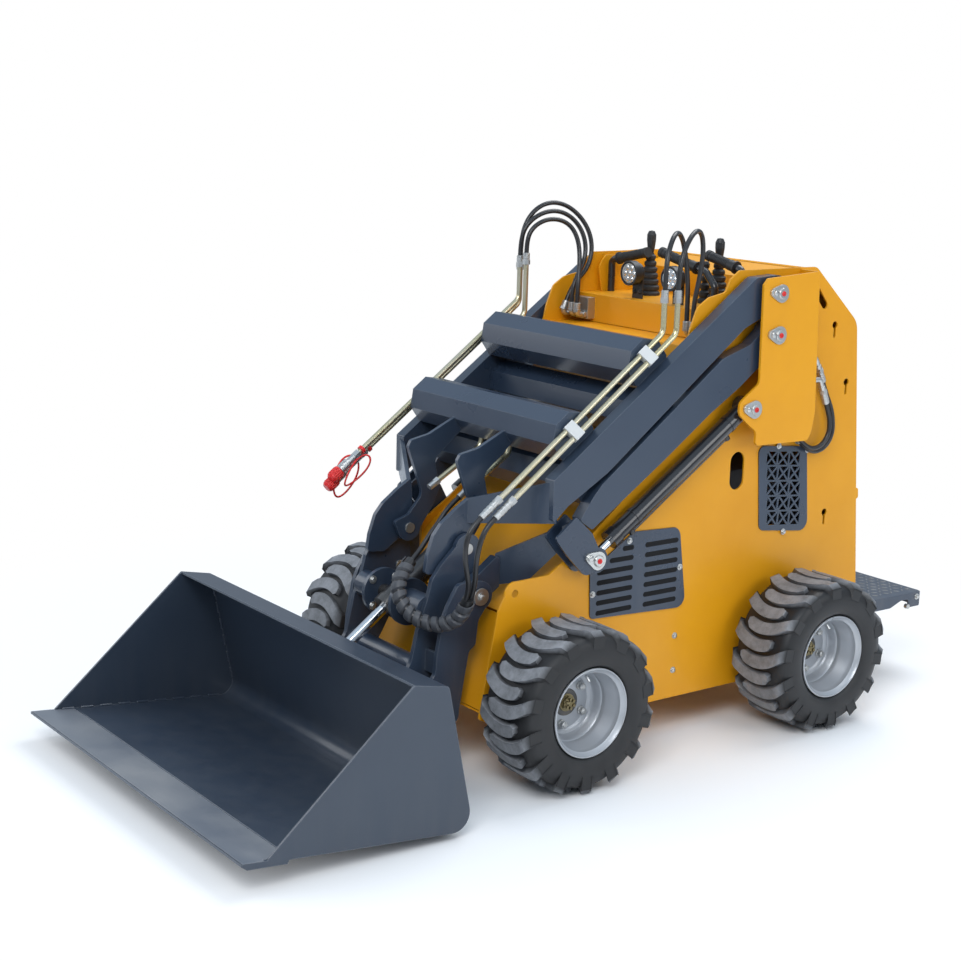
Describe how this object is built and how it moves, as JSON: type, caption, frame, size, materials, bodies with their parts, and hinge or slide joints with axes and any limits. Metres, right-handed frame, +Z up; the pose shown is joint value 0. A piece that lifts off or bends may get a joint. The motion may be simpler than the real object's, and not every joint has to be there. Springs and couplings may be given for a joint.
{
  "type": "skid steer loader",
  "caption": "Compact stand-on skid steer loader with parallel lift arms, open front bucket, lugged wheels, a folding rear step and an operator console between two towers.",
  "frame": {"origin": "on the floor, under the middle of the loader's bounding box", "axes": "+Z up, -Y towards the bucket (the front), +X to the machine's left"},
  "size_m": [1.218, 2.68, 1.504],
  "materials": {
    "black_paint": "gloss",
    "black_plastic": "satin",
    "black_rubber": "matte",
    "chrome": "polished",
    "engine_metal": "matte",
    "lamp_lens": "gloss",
    "red_plastic": "satin",
    "silver_paint": "satin",
    "slate_paint": "satin",
    "tyre_rubber": "matte",
    "white_plastic": "satin",
    "yellow_paint": "gloss",
    "zinc_steel": "satin"
  },
  "bodies": {
    "chassis": {"side_plates": "yellow_paint", "tower_plates": "yellow_paint", "belly_plate": "yellow_paint", "front_panel": "yellow_paint", "hood": "yellow_paint", "rear_panel": "yellow_paint", "console_box": "yellow_paint", "dash_panel": "yellow_paint", "engine_block": "engine_metal", "tower_pins": "zinc_steel", "wheel_motors": "black_paint", "step_brackets": "slate_paint", "side_grilles": "slate_paint", "side_louvres": "slate_paint", "lamps": "lamp_lens", "joysticks": "black_plastic", "joystick_boots": "black_rubber", "hand_grips": "black_rubber", "console_tubes": "black_paint", "bulkheads": "zinc_steel", "far_hose_1": "black_rubber", "far_hose_2": "black_rubber", "far_hose_3": "black_rubber", "near_hose_1": "black_rubber", "near_hose_2": "black_rubber", "tower_hose_1": "black_rubber", "tower_hose_2": "black_rubber"},
    "upper_arm": {"upper_arm": "slate_paint", "arm_pipes": "zinc_steel", "pipe_clamps": "white_plastic", "pipe_fittings": "zinc_steel", "quick_couplers": "red_plastic", "hose_bundle": "black_rubber", "bundle_lead_1": "black_rubber", "bundle_lead_2": "black_rubber", "bundle_lead_3": "black_rubber"},
    "lower_link": {"lower_link": "slate_paint", "rod_pins": "zinc_steel"},
    "head": {"head": "slate_paint", "head_pins": "zinc_steel", "trunnion_blocks": "slate_paint"},
    "tilt_barrel": {"tilt_barrel": "black_paint"},
    "tilt_rod": {"tilt_rod": "chrome"},
    "bucket": {"bucket": "slate_paint", "hitch": "slate_paint"},
    "lift_barrels": {"lift_barrels": "black_paint"},
    "lift_rods": {"lift_rods": "chrome"},
    "step": {"step_platform": "slate_paint"},
    "wheel_front_left": {"tyre_front_left": "tyre_rubber", "rim_front_left": "silver_paint"},
    "wheel_front_right": {"tyre_front_right": "tyre_rubber", "rim_front_right": "silver_paint"},
    "wheel_rear_left": {"tyre_rear_left": "tyre_rubber", "rim_rear_left": "silver_paint"},
    "wheel_rear_right": {"tyre_rear_right": "tyre_rubber", "rim_rear_right": "silver_paint"}
  },
  "joints": [
    {"name": "lift", "type": "hinge", "parent": "chassis", "child": "upper_arm", "pos_m": [0, 0.502, 1.284], "axis": [-1, 0, 0], "range_deg": [0, 75], "deforming": ["far_hose_1", "far_hose_2", "far_hose_3", "near_hose_1", "near_hose_2"]},
    {"name": "link_swing", "type": "hinge", "parent": "chassis", "child": "lower_link", "pos_m": [0, 0.502, 1.165], "axis": [-1, 0, 0], "range_deg": [0, 75]},
    {"name": "head_level", "type": "hinge", "parent": "upper_arm", "child": "head", "pos_m": [0, -0.412, 0.606], "axis": [1, 0, 0], "range_deg": [0, 75]},
    {"name": "lift_barrel_swing", "type": "hinge", "parent": "chassis", "child": "lift_barrels", "pos_m": [0, 0.421, 0.957], "axis": [-1, 0, 0], "range_deg": [0, 81.39]},
    {"name": "lift_rod_slide", "type": "slide", "parent": "lift_barrels", "child": "lift_rods", "axis": [0, -0.8286, -0.5599], "range_m": [0, 0.26216]},
    {"name": "tilt", "type": "hinge", "parent": "head", "child": "bucket", "pos_m": [0, -0.61, 0.185], "axis": [1, 0, 0], "range_deg": [-20, 55]},
    {"name": "tilt_barrel_swing", "type": "hinge", "parent": "head", "child": "tilt_barrel", "pos_m": [0, -0.53, 0.45], "axis": [1, 0, 0], "range_deg": [-2.93, 8.04]},
    {"name": "tilt_rod_slide", "type": "slide", "parent": "tilt_barrel", "child": "tilt_rod", "axis": [0, -0.8079, -0.5893], "range_m": [-0.05515, 0.15148]},
    {"name": "step_fold", "type": "hinge", "parent": "chassis", "child": "step", "pos_m": [0, 1.024, 0.246], "axis": [1, 0, 0], "range_deg": [0, 88]},
    {"name": "spin_front_left", "type": "hinge", "parent": "chassis", "child": "wheel_front_left", "pos_m": [0.462, -0.28, 0.2285], "axis": [1, 0, 0], "continuous": true},
    {"name": "spin_front_right", "type": "hinge", "parent": "chassis", "child": "wheel_front_right", "pos_m": [-0.462, -0.28, 0.2285], "axis": [1, 0, 0], "continuous": true},
    {"name": "spin_rear_left", "type": "hinge", "parent": "chassis", "child": "wheel_rear_left", "pos_m": [0.462, 0.64, 0.2285], "axis": [1, 0, 0], "continuous": true},
    {"name": "spin_rear_right", "type": "hinge", "parent": "chassis", "child": "wheel_rear_right", "pos_m": [-0.462, 0.64, 0.2285], "axis": [1, 0, 0], "continuous": true}
  ],
  "couplings": [
    {"joint": "link_swing", "follows": "lift", "ratio": 1},
    {"joint": "head_level", "follows": "lift", "ratio": 1},
    {"joint": "lift_barrel_swing", "follows": "lift", "ratio": 1.085},
    {"joint": "lift_rod_slide", "follows": "lift", "m_per_rad": 0.2002},
    {"joint": "tilt_barrel_swing", "follows": "tilt", "ratio": 0.146},
    {"joint": "tilt_rod_slide", "follows": "tilt", "m_per_rad": 0.1577}
  ]
}
